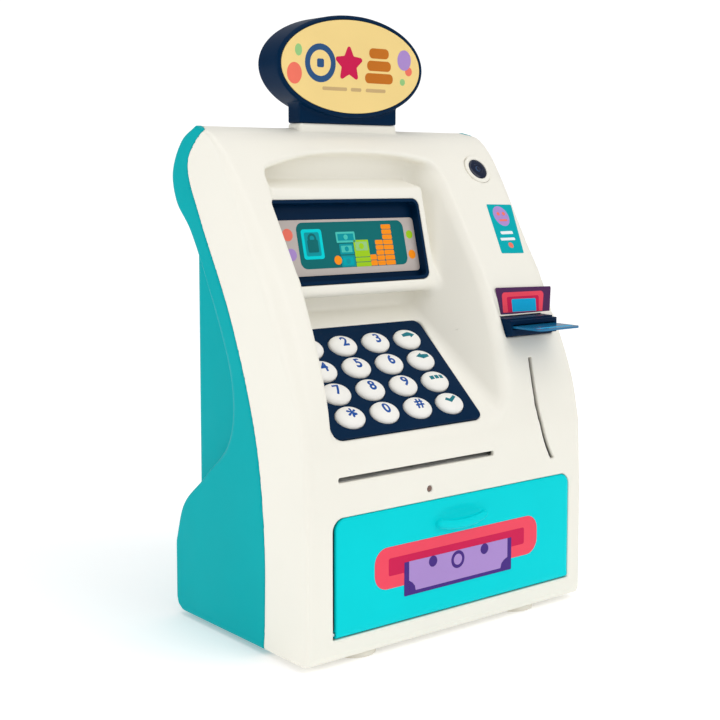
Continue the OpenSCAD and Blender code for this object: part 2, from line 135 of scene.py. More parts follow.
FRONT_LINE = (
    [(4, BASE_Z), (1.2, 3.4), (0, 6)]
    + smooth([(0, 97), (4.2, 119.5), (14.8, 147.5), LEAN_A])
    + smooth([LEAN_B, (68.5, 236.5), (79, 245), TOP])
)
REAR_LINE = smooth(
    [TOP, (104, 241.5), (112.8, 226), (109.5, 211.5), (96.5, 197), (76, 160.5), (62.5, 122)]
    + [(65.5, 97), (86, 76), (106, 58.5), (113.7, 38)]
)
SIDE = FRONT_LINE + REAR_LINE[1:] + [(113.7, 9), (112.3, 5), (108, BASE_Z)]
SEAM = (
    [(-40, -10), (35, -10), (35, 4)]
    + smooth([(33.9, 16), (34, 55), (40.4, 101), (60.5, 155.5), (87.5, 204)]
             + [(98, 227), (95.5, 240), (92, 247.8)])
    + [(92, 262), (-40, 262)]
)
BACK = filleted(
    [(40, 58, 0), (106, 58, 6), (111, 50, 0), (111, 210, 8), (112.5, 219, 0), (100, 219, 0), (40, 203, 0)]
)
RECESS = filleted(
    [(-20, 85.6, 0), (60.5, 157.3, 3), (60.5, 167.7, 2), (45.4, 163.9, 3), (58.9, 218.2, 2.5)]
    + [(76, 222.5, 2), (76, 236, 5), (-20, 236, 0)]
)
DEEP_RECESS = filleted([(-20, 85.6, 0), (60.5, 157.3, 3), (76, 222.5, 2), (76, 236, 5), (-20, 236, 0)])


# ---------- signed distance fields, negative inside ----------
def outline_distance(points, u, v):
    """Signed distance from (u, v) to a closed outline."""
    p = np.array(points, float)
    shape = np.broadcast(u, v).shape
    nearest = np.full(shape, 1e9)
    inside = np.zeros(shape, bool)
    for (au, av), (bu, bv) in zip(p, np.roll(p, -1, 0)):
        eu, ev = bu - au, bv - av
        length2 = eu * eu + ev * ev
        if length2 == 0:
            continue
        t = np.clip(((u - au) * eu + (v - av) * ev) / length2, 0, 1)
        nearest = np.minimum(nearest, (u - au - t * eu) ** 2 + (v - av - t * ev) ** 2)
        if ev != 0:
            inside ^= ((av > v) != (bv > v)) & (u < au + (v - av) * eu / ev)
    return np.sqrt(nearest) * np.where(inside, -1, 1)


class Outline:
    """Signed distance to a closed outline, tabled once on a fine grid and read back between its points."""

    CELL = 0.25
    MARGIN = 16.0

    def __init__(self, points):
        p = np.array(points, float)
        self.low = p.min(0) - self.MARGIN
        counts = np.ceil((p.max(0) + self.MARGIN - self.low) / self.CELL).astype(int) + 1
        u, v = (self.low[i] + self.CELL * np.arange(counts[i]) for i in (0, 1))
        self.table = outline_distance(p, u[:, None], v[None, :]).astype(np.float32)

    def __call__(self, u, v):
        last = np.array(self.table.shape) - 1.001
        gu = np.clip((u - self.low[0]) / self.CELL, 0, last[0])
        gv = np.clip((v - self.low[1]) / self.CELL, 0, last[1])
        iu, iv = gu.astype(np.int32), gv.astype(np.int32)
        fu, fv = gu - iu, gv - iv
        t = self.table
        low = t[iu, iv] * (1 - fv) + t[iu, iv + 1] * fv
        high = t[iu + 1, iv] * (1 - fv) + t[iu + 1, iv + 1] * fv
        return low * (1 - fu) + high * fu


def both(a, b, radius):
    """The part inside a and b, its outer edge rounded."""
    outer = np.hypot(np.maximum(a + radius, 0), np.maximum(b + radius, 0))
    return np.minimum(np.maximum(a, b), -radius) + outer


def either(a, b, radius):
    """The part inside a or b, its inner corner filled."""
    return -both(-a, -b, radius)


def slab(u, low, high):
    return np.abs(u - (low + high) / 2) - (high - low) / 2


def rect(u, v, u0, v0, u1, v1, radius=0.0):
    """Signed distance to a rectangle with rounded corners."""
    du, dv = slab(u, u0, u1) + radius, slab(v, v0, v1) + radius
    outside = np.hypot(np.maximum(du, 0), np.maximum(dv, 0))
    return outside + np.minimum(np.maximum(du, dv), 0) - radius


def block(x, y, z, low, high, radius=0.0):
    """Signed distance to a box whose edges are all rounded."""
    d = [slab(a, low[i], high[i]) + radius for i, a in enumerate((x, y, z))]
    outside = np.sqrt(sum(np.maximum(a, 0) ** 2 for a in d))
    return outside + np.minimum(reduce(np.maximum, d), 0) - radius


def disc(u, v, cu, cv, radius):
    return np.hypot(u - cu, v - cv) - radius


def oval(u, v, a, b):
    """Near signed distance to an ellipse at the origin with half-widths a and b."""
    near = np.hypot(u / a, v / b) + 1e-6
    slope = np.hypot(u / (a * a), v / (b * b)) + 1e-6
    return near * (near - 1) / slope


def lean_out(y, z):
    """Height above the leaning flat stretch of the front."""
    return (y - LEAN_A[0]) * LEAN_OUT[0] + (z - LEAN_A[1]) * LEAN_OUT[1]


class Plane:
    """A flat frame: u runs along +X, v up the slope and h out of the surface."""

    def __init__(self, origin, tilt):
        angle = math.radians(tilt)
        self.origin = np.array(origin, float)
        self.axes = np.array(
            [[1, 0, 0], [0, math.cos(angle), math.sin(angle)], [0, -math.sin(angle), math.cos(angle)]]
        )

    def place(self, points):
        return self.origin + np.asarray(points, float) @ self.axes

    def turn(self, directions):
        return np.asarray(directions, float) @ self.axes


OBJECT = Plane((0, 0, 0), 0)
DOOR_FACE = Plane((0, 0, 0), 90)
SIGN_FACE = Plane((0, 80.2, 280.5), 90)
SCREEN = Plane((-23.6, 52.4, 192), 90 - SCREEN_LEAN)
KEYPAD = Plane((-26, 26.9, 127.37), KEYPAD_TILT)
CARD_FACE = Plane((66.3, 21.9, 159.6), 90 - CARD_TILT)


def slope_plane(x, z):
    """Frame on the leaning flat stretch of the front, at the given place."""
    y = LEAN_A[0] + (z - LEAN_A[1]) * LEAN_UP[0] / LEAN_UP[1]
    return Plane((x, y, z), 90 - math.degrees(math.atan2(LEAN_UP[0], LEAN_UP[1])))


# ---------- meshes ----------
def finish_piece(obj, body, node=None):
    """Sets what a piece rides on, which CAD node it stands for."""
    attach(obj, body)
    if node:
        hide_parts(node)
    return obj


def mesh_piece(name, points, faces, materials, normals=None, kinds=None):
    """A smooth-shaded object from millimetre points."""
    mesh = bpy.data.meshes.new(name)
    mesh.from_pydata(row(points).tolist(), [], faces)
    mesh.polygons.foreach_set("use_smooth", [True] * len(mesh.polygons))
    for material in materials:
        mesh.materials.append(material)
    if kinds is not None:
        mesh.polygons.foreach_set("material_index", kinds)
    mesh.update()
    if normals is None:
        mesh.set_sharp_from_angle(angle=math.radians(35))
    else:
        mesh.normals_split_custom_set_from_vertices(normals)
    obj = bpy.data.objects.new(name, mesh)
    bpy.context.scene.collection.objects.link(obj)
    return obj


def slopes(field, p, step=0.3):
    """Unit outward directions of a field at points p, and the field's steepness there."""
    g = np.empty_like(p)
    for i in range(3):
        ahead, behind = p.copy(), p.copy()
        ahead[:, i] += step
        behind[:, i] -= step
        g[:, i] = (field(*ahead.T) - field(*behind.T)) / (2 * step)
    size = np.linalg.norm(g, axis=1, keepdims=True)
    size[size < 1e-6] = 1
    return g / size, size[:, 0]


def face_normals(p, faces):
    """Unit directions of the surface at each point, from the faces round it."""
    quads = np.array([f if len(f) == 4 else (*f, f[2]) for f in faces])
    flat = np.cross(p[quads[:, 2]] - p[quads[:, 0]], p[quads[:, 3]] - p[quads[:, 1]])
    total = np.zeros_like(p)
    for corner in range(4):
        np.add.at(total, quads[:, corner], flat)
    return total / np.maximum(np.linalg.norm(total, axis=1, keepdims=True), 1e-12)


def folded_points(p, faces):
    """Points of faces that lie far off the run of the surface round them."""
    quads = np.array([f if len(f) == 4 else (*f, f[2]) for f in faces])
    flat = np.cross(p[quads[:, 2]] - p[quads[:, 0]], p[quads[:, 3]] - p[quads[:, 1]])
    flat /= np.maximum(np.linalg.norm(flat, axis=1, keepdims=True), 1e-12)
    around = face_normals(p, faces)[quads].mean(1)
    folds = (flat * around).sum(1) < 0.75
    return np.unique(quads[folds])


def field_piece(name, field, low, high, voxel, material, plane=OBJECT, adaptivity=0.04):
    """Meshes the surface where a field is zero, then settles each point onto it."""
    pad = 3 * voxel
    axes = [np.arange(low[i] - pad, high[i] + pad, voxel, dtype=np.float32) for i in range(3)]
    values = field(axes[0][:, None, None], axes[1][None, :, None], axes[2][None, None, :])
    values = np.clip(values / voxel, -3, 3).astype(np.float32)
    grid = vdb.FloatGrid(background=3.0)
    grid.copyFromArray(np.ascontiguousarray(values), tolerance=0.0)
    points, triangles, quads = grid.convertToPolygons(isovalue=0.0, adaptivity=adaptivity)
    start = points.astype(float) * voxel + [a[0] for a in axes]
    p = start.copy()
    for _ in range(3):
        out, steep = slopes(field, p)
        gap = field(*p.T) / np.maximum(steep, 0.5)
        p -= out * np.clip(gap, -0.3 * voxel, 0.3 * voxel)[:, None]
        p = start + np.clip(p - start, -0.5 * voxel, 0.5 * voxel)
    faces = [tuple(f) for f in triangles.tolist()] + [tuple(f) for f in quads.tolist()]
    for _ in range(3):
        folded = folded_points(p, faces)
        p[folded] = start[folded]
    normals = slopes(field, p)[0]
    shape = face_normals(p, faces)
    if (shape * normals).sum() < 0:
        faces = [f[::-1] for f in faces]
        shape = -shape
    creased = (shape * normals).sum(1) < 0.93
    normals[creased] = shape[creased]
    return mesh_piece(name, plane.place(p), faces, [material], plane.turn(normals))


def lathe_piece(name, rings, plane, materials, kinds=None, steps=64):
    """Oval rings (half-width u, half-width v, height) joined into one closed skin."""
    angles = 2 * math.pi * np.arange(steps) / steps
    points = [(a * math.cos(t), b * math.sin(t), h) for a, b, h in rings for t in angles]
    count = len(rings)
    faces = [tuple(range(steps))[::-1], tuple((count - 1) * steps + i for i in range(steps))]
    ring_kinds = [kinds[0] if kinds else 0, kinds[-1] if kinds else 0]
    for r in range(count - 1):
        for i in range(steps):
            j = (i + 1) % steps
            faces.append((r * steps + i, r * steps + j, (r + 1) * steps + j, (r + 1) * steps + i))
            ring_kinds.append(kinds[r] if kinds else 0)
    return mesh_piece(name, plane.place(points), faces, materials, kinds=ring_kinds)


def print_piece(name, plane, layers, base=0.1, floor=0.0):
    """Thin printed shapes on a flat face, each (outline, material, layer number)."""
    lift, points, faces, kinds, materials = 0.035, [], [], [], []
    for outline, material, layer in layers:
        if material not in materials:
            materials.append(material)
        n, start = len(outline), len(points)
        for h in (floor, floor + base + lift * layer):
            points += [(u, v, h) for u, v in outline]
        area = sum(a[0] * b[1] - b[0] * a[1] for a, b in zip(outline, [*outline[1:], outline[0]]))
        loop = list(range(n)) if area > 0 else list(range(n))[::-1]
        faces.append([start + n + i for i in loop])
        faces.append([start + i for i in loop[::-1]])
        for a, b in zip(loop, [*loop[1:], loop[0]]):
            faces.append([start + a, start + b, start + n + b, start + n + a])
        kinds += [materials.index(material)] * (n + 2)
    return mesh_piece(name, plane.place(points), faces, materials, kinds=kinds)


def box_outline(u0, v0, u1, v1, radius=0.0):
    return filleted([(u0, v0, radius), (u1, v0, radius), (u1, v1, radius), (u0, v1, radius)])


def disc_outline(u, v, a, b=None, steps=40):
    b = b or a
    angles = [2 * math.pi * k / steps for k in range(steps)]
    return [(u + a * math.cos(t), v + b * math.sin(t)) for t in angles]


# ---------- housings ----------
side = Outline(SIDE)
seam = Outline(SEAM)
back = Outline(BACK)
recess_side = Outline(RECESS)
deep_side = Outline(DEEP_RECESS)


def wing_round(y, z):
    """Rounding of the side edges: tight at the foot and on the wings, wide on the leaning front."""
    return np.clip(np.minimum(1.6 + (z - 60.0) * 0.07, 8.0 - (y - 40.0) * 0.16), 1.6, 8.0)


def body(x, y, z):
    return both(side(y, z), np.abs(x) - HALF_W, wing_round(y, z))


def back_box(x, y, z):
    shape = both(back(y, z), np.abs(x) - BOX_HALF, 3)
    return both(shape, BASE_Z - z, 3)


def recess(x, y, z):
    """The hollow that holds the screen and the keypad."""
    deep = both(deep_side(y, z), 28.5 - x, 3)
    space = np.minimum(recess_side(y, z), deep)
    right = ((x - 44) * 62 - (lean_out(y, z) - 2) * 42) / math.hypot(62, 42)
    left = -(x + 69.4 + (225 - z) * 0.045)
    roof = z - 236 + (x + 8) ** 2 / 390
    space = both(both(space, right, 4), left, 4)
    return both(space, both(both(roof, left, 3), x - 45, 7), 3)


def to_screen(y, z):
    """(up, out) of a point in the screen's frame."""
    lean = math.radians(SCREEN_LEAN)
    dy, dz = y - SCREEN.origin[1], z - SCREEN.origin[2]
    return dy * math.sin(lean) + dz * math.cos(lean), -dy * math.cos(lean) + dz * math.sin(lean)


def to_keypad(y, z):
    """(up the slope, out) of a point in the keypad's frame."""
    tilt = math.radians(KEYPAD_TILT)
    dy, dz = y - KEYPAD.origin[1], z - KEYPAD.origin[2]
    return dy * math.cos(tilt) + dz * math.sin(tilt), -dy * math.sin(tilt) + dz * math.cos(tilt)


def front_cuts(x, y, z):
    """Openings through the front's wall."""
    up, out = to_screen(y, z)
    screen = both(rect(x - SCREEN.origin[0], up, -48.6, -21.2, 48.6, 21.2, 4), slab(out, -12, 20), 0.4)
    up, out = to_keypad(y, z)
    keypad = both(rect(x - KEYPAD.origin[0], up, -46.1, -33.3, 46.1, 33.3, 4.5), slab(out, -9, 8), 0.4)
    door_way = np.maximum(rect(x, z, -75.3, 13, 80.8, 69.3, 6), 19.3 - z)
    door_way = np.minimum(door_way, rect(x, z, -75.3, 13, 80.8, 30, 0.8))
    door_way = np.maximum(door_way, slab(y, -5, 8))
    note = np.maximum(rect(x, z, -72, 85.5, 25.7, 87.9, 0.9), slab(y, -5, 8))
    light = np.maximum(disc(x, z, -16.8, 75, 1.55), slab(y, -5, 8))
    slit = np.maximum(slab(np.hypot(x - 128.4, z - 116), 69.8, 72), slab(z, 78.5, 131))
    slit = np.maximum(slit, slab(y, -5, 22))
    pocket = block(x, y, z, (46.2, 8, 142), (80.2, 40, 151.6), 0.6)
    return reduce(np.minimum, (screen, keypad, door_way, note, light, slit, pocket))


def card_step(x, y, z):
    """The flat stepped face above the card slot."""
    tilt = math.radians(CARD_TILT)
    out = -(y - CARD_FACE.origin[1]) * math.cos(tilt) + (z - CARD_FACE.origin[2]) * math.sin(tilt)
    shape = both(-out, z - 168, 1.2)
    shape = both(shape, 151.5 - z, 1.5)
    return both(shape, rect(x, y, 46.2, -20, 120, 60, 1.5), 1.5)


def camera_seat(x, y, z):
    along = (y - LEAN_A[0]) * LEAN_UP[0] + (z - LEAN_A[1]) * LEAN_UP[1]
    centre = (CAMERA_Z - LEAN_A[1]) / LEAN_UP[1]
    return np.maximum(disc(x, along, CAMERA_X, centre, 8.6), slab(lean_out(y, z), -2.2, 9))


def seam_side(x, y, z):
    """Which side of the seam a point is on; the seam comes forward at the wings' top corners."""
    forward = 11 * np.clip((np.abs(x) - 85) / 4, 0, 1) * np.clip((z - 230) / 17, 0, 1) ** 2
    return seam(y + forward, z)


def front_housing(x, y, z):
    outer = body(x, y, z)
    space = recess(x, y, z)
    skin = both(outer, -space, RIM_ROUND)
    skin = both(skin, -card_step(x, y, z), 1.2)
    lining = np.minimum(space - LINING, block(x, y, z, (44.5, 12, 139), (HALF_W - 1, 33, 170), 1))
    shell = np.maximum(skin, np.minimum(-(outer + WALL), lining))
    plinth = block(x, y, z, (-32, 83, 240), (32, 94, 251), 1.2)
    tab = block(x, y, z, (-35, 89, 245.4), (35, 97, 248.2), 0.5)
    shell = both(shell, seam_side(x, y, z) + SEAM_GAP, SEAM_ROUND)
    shell = either(shell, np.minimum(plinth, tab), 1.0)
    shell = both(shell, -block(x, y, z, (-26, 85.5, 240), (26, 91.5, 252), 0.3), 0.3)
    shell = both(shell, -front_cuts(x, y, z), 0.6)
    return both(shell, -camera_seat(x, y, z), 0.4)


def rear_openings(x, y, z):
    rods = []
    for u, v, post_y, sink_y in SCREWS:
        hole = np.maximum(disc(np.abs(x), z, u, v, 1.7), slab(y, post_y - 8, 125))
        sink = np.maximum(disc(np.abs(x), z, u, v, 3.2), slab(y, sink_y, 125))
        rods.append(np.minimum(hole, sink))
    cell = block(x, y, z, (-25.5, 100, 129.5), (25.5, 118, 185.5), 0.5)
    lid = block(x, y, z, (-28.5, 109.6, 126.5), (28.5, 118, 188.5), 0.3)
    switch = block(x, y, z, (46, 100, 92.4), (58, 118, 97.6), 0.3)
    screw = np.maximum(disc(x, z, 0, 186, 1.7), slab(y, 104, 112))
    return reduce(np.minimum, rods + [cell, lid, switch, screw])


def grille(x, y, z):
    pitch = 4.4
    near = z - 95 - np.clip(np.round((z - 95) / pitch), -3, 3) * pitch
    return np.maximum(rect(x, near, -14, -1, 14, 1, 0.9), slab(y, 100, 118))


def rear_housing(x, y, z):
    outer = np.minimum(body(x, y, z), back_box(x, y, z))
    inner = outer + WALL
    shell = np.maximum(outer, -inner)
    posts = [
        np.maximum(disc(np.abs(x), z, u, v, 4.6), slab(y, post_y, 112)) for u, v, post_y, _ in SCREWS
    ]
    posts = np.maximum(reduce(np.minimum, posts), outer)
    shell = np.minimum(shell, posts)
    shell = both(shell, -seam_side(x, y, z) + SEAM_GAP, SEAM_ROUND)
    shell = np.maximum(shell, -block(x, y, z, (-35.4, 79, 240), (35.4, 97.4, 252), 0.5))
    shell = both(shell, -rear_openings(x, y, z), 0.4)
    return both(shell, -grille(x, y, z), 0.4)


# ---------- door and sign ----------
def door(x, y, z):
    plate = np.maximum(rect(x, z, DOOR_LEFT, 13.3, DOOR_RIGHT, 69, 5.7), 19.3 - z)
    plate = np.minimum(plate, rect(x, z, DOOR_LEFT, HINGE_Z, DOOR_RIGHT, 30, 0.5))
    plate = both(plate, slab(y, 0, 2.4), 0.8)
    barrel = both(disc(y, z, HINGE_Y, HINGE_Z, 2), slab(x, DOOR_LEFT, DOOR_RIGHT), 0.3)
    shell = np.minimum(plate, barrel)
    rim = np.minimum(
        block(np.abs(x - DOOR_MIDDLE), y, z, (73.65, 2, 17.4), (75.05, 4.6, 61), 0.3),
        block(x, y, z, (-65.6, 2, 64.6), (72.5, 4.6, 66), 0.3),
    )
    shell = either(shell, rim, 0.5)
    bore = np.maximum(disc(y, z, HINGE_Y, HINGE_Z, 1), 71.05 - np.abs(x - DOOR_MIDDLE))
    shell = np.maximum(shell, -bore)
    lip_u, lip_v = x - 3.5, z - 57.3
    lip = both(oval(lip_u, lip_v, 17, 4.6), slab(y, -2.8, 1), 2.2)
    scoop = np.sqrt((lip_u / 15.6) ** 2 + ((lip_v - 3.6) / 3.6) ** 2 + ((y + 1.2) / 2.6) ** 2)
    shell = either(shell, lip, 0.8)
    return both(shell, -(scoop - 1) * 2.2, 0.8)


def sign_body(x, y, z):
    up = z - 280.5
    rim = both(oval(x, up, 48, 26.3), slab(y, 80, 98), 1.4)
    foot = block(x, y, z, (-32, 83, 251.1), (32, 94, 272), 1.0)
    plug = block(x, y, z, (-25.8, 85.7, 246), (25.8, 91.3, 256), 0.4)
    shape = np.minimum(either(rim, foot, 1.5), plug)
    front = np.maximum(oval(x, up, 45.8, 24.1), slab(y, 70, 81))
    hollow = np.maximum(oval(x, up, 45.8, 24.1), slab(y, 82.4, 110))
    return both(shape, -np.minimum(front, hollow), 0.5)


# ---------- materials ----------
def srgb(r, g, b):
    """A colour written in 0 to 255 screen values, as linear RGBA."""
    c = [v / 255 for v in (r, g, b)]
    return [v / 12.92 if v <= 0.04045 else ((v + 0.055) / 1.055) ** 2.4 for v in c] + [1.0]


def node(tree, kind, **inputs):
    n = tree.nodes.new(kind)
    for name, value in inputs.items():
        n.inputs[name].default_value = value
    return n


def plastic(name, colour, rough=0.3, spread=0.06, grain=0.02, tint=0.04, metal=0.0, scale=1.0, shine=0.35):
    """Moulded plastic, print or metal: faint colour drift, uneven gloss and a fine surface grain."""
    material = bpy.data.materials.new(name)
    material.use_nodes = True
    tree = material.node_tree
    shader = tree.nodes["Principled BSDF"]
    shader.inputs["Metallic"].default_value = metal
    shader.inputs["Specular IOR Level"].default_value = shine
    place = tree.nodes.new("ShaderNodeTexCoord")
    drift = node(tree, "ShaderNodeTexNoise", Scale=18 * scale, Detail=3.0, Roughness=0.6)
    wear = node(tree, "ShaderNodeTexNoise", Scale=60 * scale, Detail=2.0, Roughness=0.5)
    grit = node(tree, "ShaderNodeTexNoise", Scale=1400 * scale, Detail=2.0)
    for texture in (drift, wear, grit):
        tree.links.new(place.outputs["Object"], texture.inputs["Vector"])
    ramp = tree.nodes.new("ShaderNodeValToRGB")
    ramp.color_ramp.elements[0].position = 0.3
    ramp.color_ramp.elements[1].position = 0.7
    ramp.color_ramp.elements[0].color = [c * (1 - tint) for c in colour[:3]] + [1]
    ramp.color_ramp.elements[1].color = [min(1, c * (1 + tint)) for c in colour[:3]] + [1]
    tree.links.new(drift.outputs["Fac"], ramp.inputs["Fac"])
    tree.links.new(ramp.outputs["Color"], shader.inputs["Base Color"])
    gloss = tree.nodes.new("ShaderNodeMapRange")
    gloss.inputs["From Min"].default_value = 0.3
    gloss.inputs["From Max"].default_value = 0.7
    gloss.inputs["To Min"].default_value = max(0.02, rough - spread)
    gloss.inputs["To Max"].default_value = rough + spread
    tree.links.new(wear.outputs["Fac"], gloss.inputs["Value"])
    tree.links.new(gloss.outputs["Result"], shader.inputs["Roughness"])
    bump = node(tree, "ShaderNodeBump", Strength=0.6, Distance=grain * MM)
    tree.links.new(grit.outputs["Fac"], bump.inputs["Height"])
    tree.links.new(bump.outputs["Normal"], shader.inputs["Normal"])
    return material


IVORY = plastic("ivory_shell", srgb(240, 237, 226), 0.4, 0.04, 0.015, 0.01)
TEAL = plastic("teal_shell", srgb(0, 168, 174), 0.4, 0.04, 0.015, 0.03, shine=0.04)
CYAN = plastic("cyan_door", srgb(0, 212, 218), 0.4, 0.04, 0.015, 0.02, shine=0.05)
NAVY = plastic("navy_plastic", srgb(0, 34, 64), 0.36, 0.04, 0.015, 0.05, shine=0.05)

# printing inks; the blue one also paints the glint on the camera lens, the sky one the sheen on the bank
# card
BLUE_INK_AND_GLINT = plastic("print_blue_and_lens_glint", srgb(45, 84, 130), 0.4, 0.05, 0.01, 0.05, shine=0.1)
CRIMSON = plastic("print_crimson", srgb(205, 28, 80), 0.4, 0.05, 0.01, 0.04, shine=0.1)
ORANGE = plastic("print_orange", srgb(196, 112, 34), 0.4, 0.05, 0.01, 0.05, shine=0.1)
CORAL = plastic("print_coral", srgb(240, 118, 98), 0.4, 0.05, 0.01, 0.04, shine=0.1)
LEAF = plastic("print_leaf", srgb(150, 200, 130), 0.4, 0.05, 0.01, 0.05, shine=0.1)
LILAC = plastic("print_lilac", srgb(172, 140, 204), 0.4, 0.05, 0.01, 0.04, shine=0.1)
PLUM = plastic("print_plum", srgb(72, 44, 128), 0.4, 0.05, 0.01, 0.04, shine=0.1)
PINK = plastic("print_pink", srgb(240, 62, 88), 0.4, 0.05, 0.01, 0.03)
DEEP = plastic("print_deep_teal", srgb(0, 106, 108), 0.4, 0.05, 0.01, 0.04, shine=0.1)
BRIGHT = plastic("print_bright_orange", srgb(255, 146, 22), 0.4, 0.05, 0.01, 0.04, shine=0.1)
LIME = plastic("print_lime", srgb(158, 204, 30), 0.4, 0.05, 0.01, 0.04, shine=0.1)
WHITE = plastic("print_white", srgb(236, 240, 242), 0.4, 0.05, 0.01, 0.02)
SKY_INK_AND_SHEEN = plastic("print_sky_and_card_sheen", srgb(0, 172, 222), 0.4, 0.05, 0.01, 0.04, shine=0.1)
AQUA = plastic("print_aqua", srgb(0, 150, 160), 0.4, 0.05, 0.01, 0.04, shine=0.1)
INK = plastic("print_ink", srgb(28, 80, 158), 0.4, 0.05, 0.01, 0.05, shine=0.1)
TEAL_INK = plastic("print_teal_ink", srgb(24, 116, 128), 0.4, 0.05, 0.01, 0.05, shine=0.1)
MINT = plastic("print_mint", srgb(72, 196, 184), 0.4, 0.05, 0.01, 0.04, shine=0.1)
SAND = plastic("print_sand", srgb(202, 172, 122), 0.4, 0.05, 0.01, 0.05, shine=0.1)

# ---------- materials by record slot ----------
FINISHES = {
    "ivory_shell": IVORY,
    "teal_shell": TEAL,
    "cyan_door": CYAN,
    "navy_plastic": NAVY,
    "sign_print": plastic("sign_print", srgb(243, 213, 138), 0.42, 0.06, 0.01, 0.03),
    "screen_print": plastic("screen_print", srgb(188, 178, 172), 0.4, 0.05, 0.01, 0.04),
    "door_print": PINK,
    "teal_print": plastic("teal_print", srgb(0, 168, 176), 0.4, 0.05, 0.01, 0.03, shine=0.05),
    "card_print": plastic("card_print", srgb(72, 14, 80), 0.38, 0.05, 0.01, 0.04),
    "key_ivory": plastic("key_ivory", srgb(240, 238, 232), 0.36, 0.03, 0.01, 0.01),
    "lens_navy": plastic("lens_navy", srgb(2, 20, 48), 0.1, 0.04, 0.004, 0.1, shine=0.3),
    "card_blue": plastic("card_blue", srgb(24, 112, 158), 0.16, 0.05, 0.006, 0.1),
    "led_red": plastic("led_red", srgb(120, 92, 84), 0.18, 0.04, 0.005, 0.05),
    "grey_plastic": plastic("grey_plastic", srgb(226, 226, 224), 0.45, 0.08, 0.02, 0.03),
    "bin_plastic": plastic("bin_plastic", srgb(222, 226, 227), 0.5, 0.08, 0.03, 0.03),
    "orange_plastic": plastic("orange_plastic", srgb(240, 150, 60), 0.4, 0.07, 0.02, 0.04),
    "black_plastic": plastic("black_plastic", srgb(40, 40, 43), 0.5, 0.1, 0.03, 0.1),
    "membrane_rubber": plastic("membrane_rubber", srgb(205, 205, 208), 0.65, 0.08, 0.02, 0.03),
    "roller_rubber": plastic("roller_rubber", srgb(52, 52, 54), 0.75, 0.08, 0.04, 0.1),
    "foot_rubber": plastic("foot_rubber", srgb(228, 224, 212), 0.7, 0.08, 0.04, 0.04),
    "board_green": plastic("board_green", srgb(24, 104, 66), 0.38, 0.08, 0.02, 0.15, scale=2.0),
    "steel_bright": plastic("steel_bright", srgb(205, 205, 207), 0.28, 0.1, 0.01, 0.04, metal=1.0),
    "steel_zinc": plastic("steel_zinc", srgb(190, 190, 192), 0.42, 0.12, 0.02, 0.06, metal=1.0),
    "brass_metal": plastic("brass_metal", srgb(222, 188, 118), 0.32, 0.1, 0.01, 0.06, metal=1.0),
    "cell_wrap": plastic("cell_wrap", srgb(206, 158, 74), 0.3, 0.08, 0.01, 0.06, metal=0.6),
}
SLOTS = {part["node"]: part["material_slot"] for part in frame["record"]["subparts"]}
BODIES = frame["record"]["behaviour"]["bodies"]
for name, obj in frame["nodes"].items():
    obj.data.materials.clear()
    obj.data.materials.append(FINISHES[SLOTS[name]])


def settle(obj, node):
    """A piece that stands for one CAD node: it rides on that node's body and the node is hidden."""
    body = next(b for b, members in BODIES.items() if node in members)
    return finish_piece(obj, body, node)


def soften(node, width, segments=3):
    """Rounds the edges of a CAD node that stays in sight."""
    obj = frame["nodes"][node]
    mesh_faces = obj.data.polygons
    mesh_faces.foreach_set("use_smooth", [True] * len(mesh_faces))
    weld = obj.modifiers.new("weld", "WELD")
    weld.merge_threshold = 0.001 * MM
    bevel = obj.modifiers.new("edge", "BEVEL")
    bevel.width = width * MM
    bevel.segments = segments
    bevel.limit_method = "ANGLE"
    bevel.angle_limit = math.radians(40)
    level = obj.modifiers.new("level", "WEIGHTED_NORMAL")
    level.weight = 100
    level.keep_sharp = True


# ---------- shells ----------
voxel = 0.62
settle(field_piece("front_shell", front_housing, (-90, -1, 2), (90, 99, 252), voxel, IVORY), "front_housing")
settle(field_piece("rear_shell", rear_housing, (-90, 33, 2), (90, 114, 249), voxel, TEAL), "rear_housing")
settle(field_piece("door_skin", door, (-75.5, -4, 13), (81, 5, 70), voxel * 0.7, CYAN), "door")
sign_shell = field_piece("sign_shell", sign_body, (-48.5, 79.5, 245), (48.5, 98.5, 307.5), voxel * 0.8, NAVY)
settle(sign_shell, "sign_body")
for node_name, width in (
    ("screen_bezel", 0.3),
    ("keypad_plate", 0.3),
    ("card_reader", 0.3),
    ("battery_cover", 0.3),
    ("sign_back", 0.4),
    ("feet", 0.6),
    ("switch_knob", 0.2),
    ("cash_bin", 0.4),
    ("battery_screw", 0.15),
    ("housing_screws", 0.2),
):
    soften(node_name, width)


# ---------- keys ----------
KEY_A, KEY_B, KEY_RISE = 8.1, 6.25, 2.9
KEY_PITCH = (20.7, 14.3)
KEY_SHIFT = (-0.5, -1.0)
KEY_ROWS = (
    ("key_1", "key_2", "key_3", "key_fn_a"),
    ("key_4", "key_5", "key_6", "key_fn_b"),
    ("key_7", "key_8", "key_9", "key_fn_c"),
    ("key_star", "key_0", "key_hash", "key_fn_d"),
)
ARROW = [(-4, -0.9), (0.4, -0.9), (0.4, -2), (4, 0), (0.4, 2), (0.4, 0.9), (-4, 0.9)]
MARKS = {
    "key_star": "*",
    "key_hash": "#",
    "key_fn_a": [ARROW],
    "key_fn_b": [[(-u, v) for u, v in ARROW][::-1]],
    "key_fn_c": [box_outline(u - 1.15, -1.15, u + 1.15, 1.15) for u in (-2.9, 0, 2.9)],
    "key_fn_d": [[(-3.8, 0.1), (-2.5, 1.4), (-0.9, 0.1), (2.9, 2.4), (3.9, 1.1), (-0.9, -2.1)]],
}


def dome(u, v):
    """Height of a key's rounded top above the plate."""
    inside = max(0.0, 1 - (u / KEY_A) ** 2 - (v / KEY_B) ** 2)
    return 0.3 + KEY_RISE * inside**0.5


